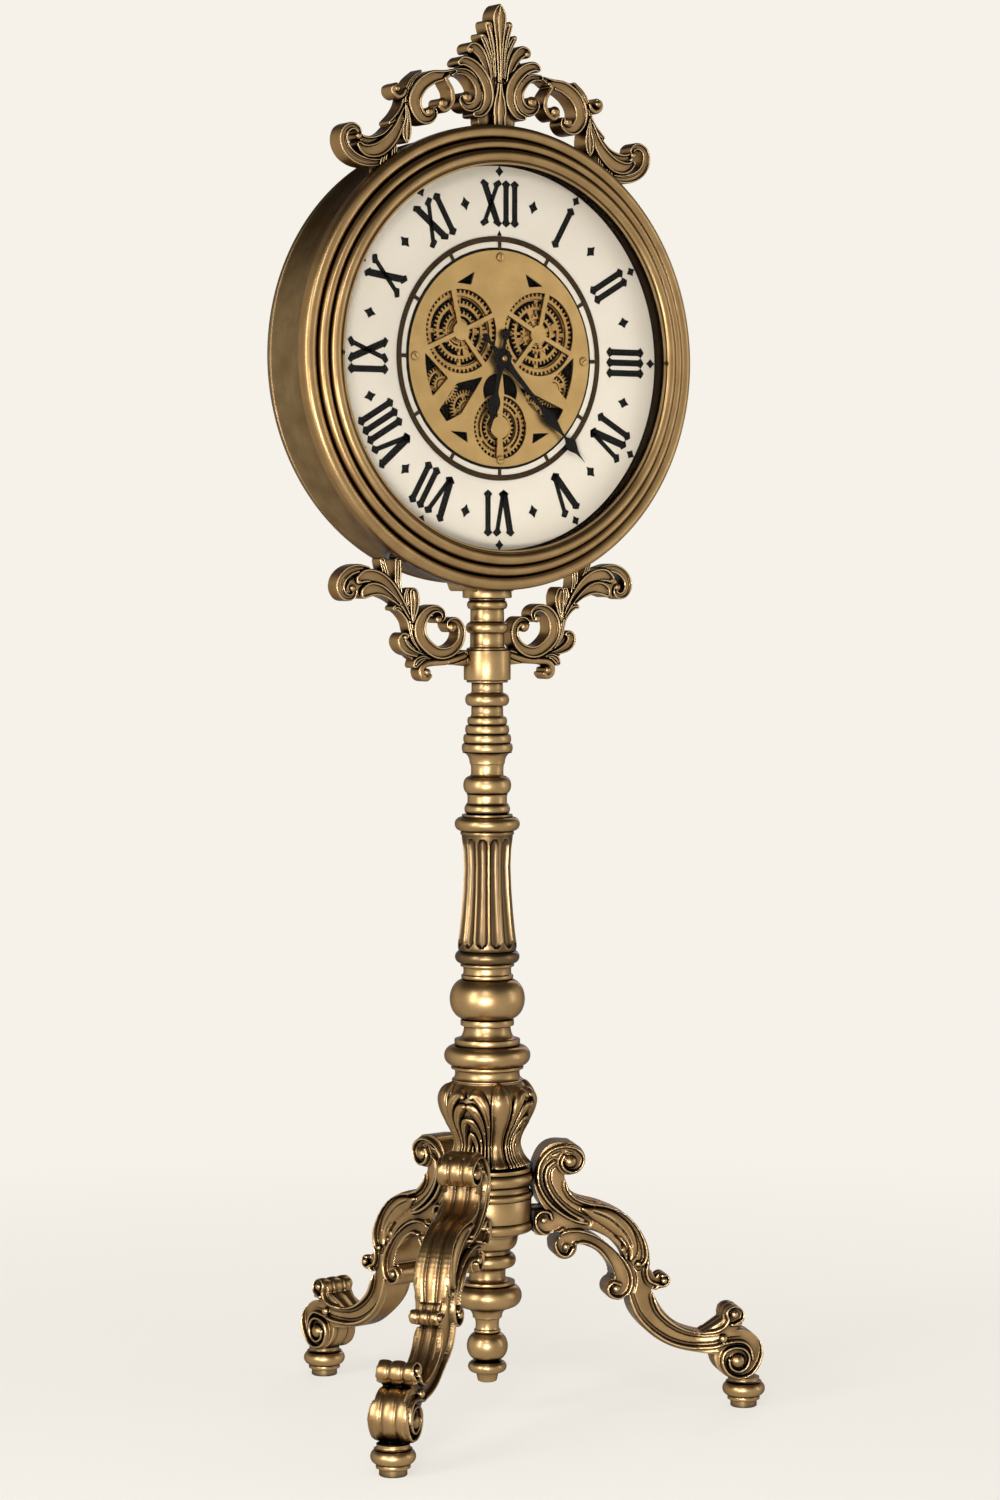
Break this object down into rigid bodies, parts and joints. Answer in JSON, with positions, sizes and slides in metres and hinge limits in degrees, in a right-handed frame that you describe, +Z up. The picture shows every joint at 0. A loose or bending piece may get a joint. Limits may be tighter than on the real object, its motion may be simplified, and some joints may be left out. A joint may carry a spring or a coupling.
{
  "type": "tripod floor clock",
  "caption": "Tripod floor clock: a round skeleton dial in a ribbed bezel with a scroll crown and brackets, on a turned and fluted column with scroll legs.",
  "frame": {"origin": "on the floor, under the middle of the clock's bounding box", "axes": "+Z up; the dial faces -Y; +X is to the right of someone who reads the dial"},
  "size_m": [0.5559, 0.5166, 1.537],
  "materials": {
    "antique_brass": "antique brass plating, polished on the high parts and dark in the recesses",
    "dark_bronze": "dark bronze, satin",
    "brushed_brass": "brushed, lacquered",
    "plain_steel": "zinc plated",
    "cream_dial": "matt cream with printed black numerals",
    "black_paint": "satin black",
    "clear_glass": "clear, flat",
    "black_plastic": "matt black",
    "battery_jacket": "plain grey jacket"
  },
  "bodies": {
    "stand": {"pendant_finial": "antique_brass", "base_hub": "antique_brass", "acanthus_vase": "antique_brass", "lower_baluster": "antique_brass", "fluted_shaft": "antique_brass", "upper_baluster": "antique_brass", "neck_sleeve": "antique_brass", "drum_saddle": "antique_brass", "leg_front_right": "antique_brass", "leg_front_left": "antique_brass", "leg_rear": "antique_brass", "foot_front_right": "antique_brass", "foot_front_left": "antique_brass", "foot_rear": "antique_brass", "case_drum": "antique_brass", "bezel": "antique_brass", "crown": "antique_brass", "bracket_right": "antique_brass", "bracket_left": "antique_brass", "back_cover": "dark_bronze", "rehaut_ring": "dark_bronze", "chapter_ring": "dark_bronze", "gear_tray": "dark_bronze", "skeleton_plate": "brushed_brass", "plate_pillar_1": "brushed_brass", "plate_pillar_2": "brushed_brass", "plate_pillar_3": "brushed_brass", "plate_pillar_4": "brushed_brass", "tie_rod": "plain_steel", "tie_rod_nut": "plain_steel", "leg_bolt_front_right": "plain_steel", "leg_bolt_front_left": "plain_steel", "leg_bolt_rear": "plain_steel", "crown_bolt_left": "plain_steel", "crown_bolt_right": "plain_steel", "bracket_bolt_left": "plain_steel", "bracket_bolt_right": "plain_steel", "cover_screw_1": "plain_steel", "cover_screw_2": "plain_steel", "cover_screw_3": "plain_steel", "cover_screw_4": "plain_steel", "dial": "cream_dial", "glass": "clear_glass", "movement_case": "black_plastic", "gear_motor": "black_plastic", "battery_holder": "black_plastic", "battery_1": "battery_jacket", "battery_2": "battery_jacket"},
    "door": {"service_door": "dark_bronze"},
    "minute": {"minute_hand": "black_paint", "hand_nut": "brushed_brass"},
    "hour": {"hour_hand": "black_paint"},
    "knob": {"set_knob": "black_plastic"},
    "wheel_right": {"right_wheel": "brushed_brass"},
    "wheel_left": {"left_wheel": "brushed_brass"},
    "idler_right": {"right_idler": "brushed_brass"},
    "idler_left": {"left_idler": "brushed_brass"},
    "pinion_right": {"right_pinion": "brushed_brass"},
    "pinion_left": {"left_pinion": "brushed_brass"},
    "wheel_lower": {"lower_wheel": "brushed_brass"}
  },
  "joints": [
    {"name": "door_hinge", "type": "hinge", "parent": "stand", "child": "door", "pos_m": [0.0454, 0.00187, 1.185], "axis": [0, 0, -1], "range_deg": [0, 110]},
    {"name": "minute_spin", "type": "hinge", "parent": "stand", "child": "minute", "pos_m": [-0.0166, -0.08483, 1.157], "axis": [0, 1, 0], "continuous": true},
    {"name": "hour_spin", "type": "hinge", "parent": "stand", "child": "hour", "pos_m": [-0.0166, -0.08283, 1.157], "axis": [0, 1, 0], "continuous": true},
    {"name": "knob_spin", "type": "hinge", "parent": "stand", "child": "knob", "pos_m": [-0.0166, -0.04283, 1.141], "axis": [0, 1, 0], "continuous": true},
    {"name": "wheel_right_spin", "type": "hinge", "parent": "stand", "child": "wheel_right", "pos_m": [0.0334, -0.07093, 1.185], "axis": [0, 1, 0], "continuous": true},
    {"name": "wheel_left_spin", "type": "hinge", "parent": "stand", "child": "wheel_left", "pos_m": [-0.0666, -0.07093, 1.185], "axis": [0, 1, 0], "continuous": true},
    {"name": "idler_right_spin", "type": "hinge", "parent": "stand", "child": "idler_right", "pos_m": [0.05579, -0.07093, 1.12665], "axis": [0, 1, 0], "continuous": true},
    {"name": "idler_left_spin", "type": "hinge", "parent": "stand", "child": "idler_left", "pos_m": [-0.089, -0.07093, 1.12665], "axis": [0, 1, 0], "continuous": true},
    {"name": "pinion_right_spin", "type": "hinge", "parent": "stand", "child": "pinion_right", "pos_m": [0.0251, -0.07093, 1.103], "axis": [0, 1, 0], "continuous": true},
    {"name": "pinion_left_spin", "type": "hinge", "parent": "stand", "child": "pinion_left", "pos_m": [-0.0583, -0.07093, 1.103], "axis": [0, 1, 0], "continuous": true},
    {"name": "wheel_lower_spin", "type": "hinge", "parent": "stand", "child": "wheel_lower", "pos_m": [-0.0166, -0.07093, 1.083], "axis": [0, 1, 0], "continuous": true}
  ],
  "couplings": [
    {"joint": "hour_spin", "follows": "minute_spin", "ratio": 0.083333},
    {"joint": "knob_spin", "follows": "minute_spin", "ratio": -1},
    {"joint": "wheel_left_spin", "follows": "wheel_right_spin", "ratio": 1},
    {"joint": "idler_right_spin", "follows": "wheel_right_spin", "ratio": -2.125},
    {"joint": "idler_left_spin", "follows": "wheel_right_spin", "ratio": -2.125},
    {"joint": "pinion_right_spin", "follows": "wheel_right_spin", "ratio": 2.2667},
    {"joint": "pinion_left_spin", "follows": "wheel_right_spin", "ratio": 2.2667},
    {"joint": "wheel_lower_spin", "follows": "wheel_right_spin", "ratio": -1.5455}
  ]
}
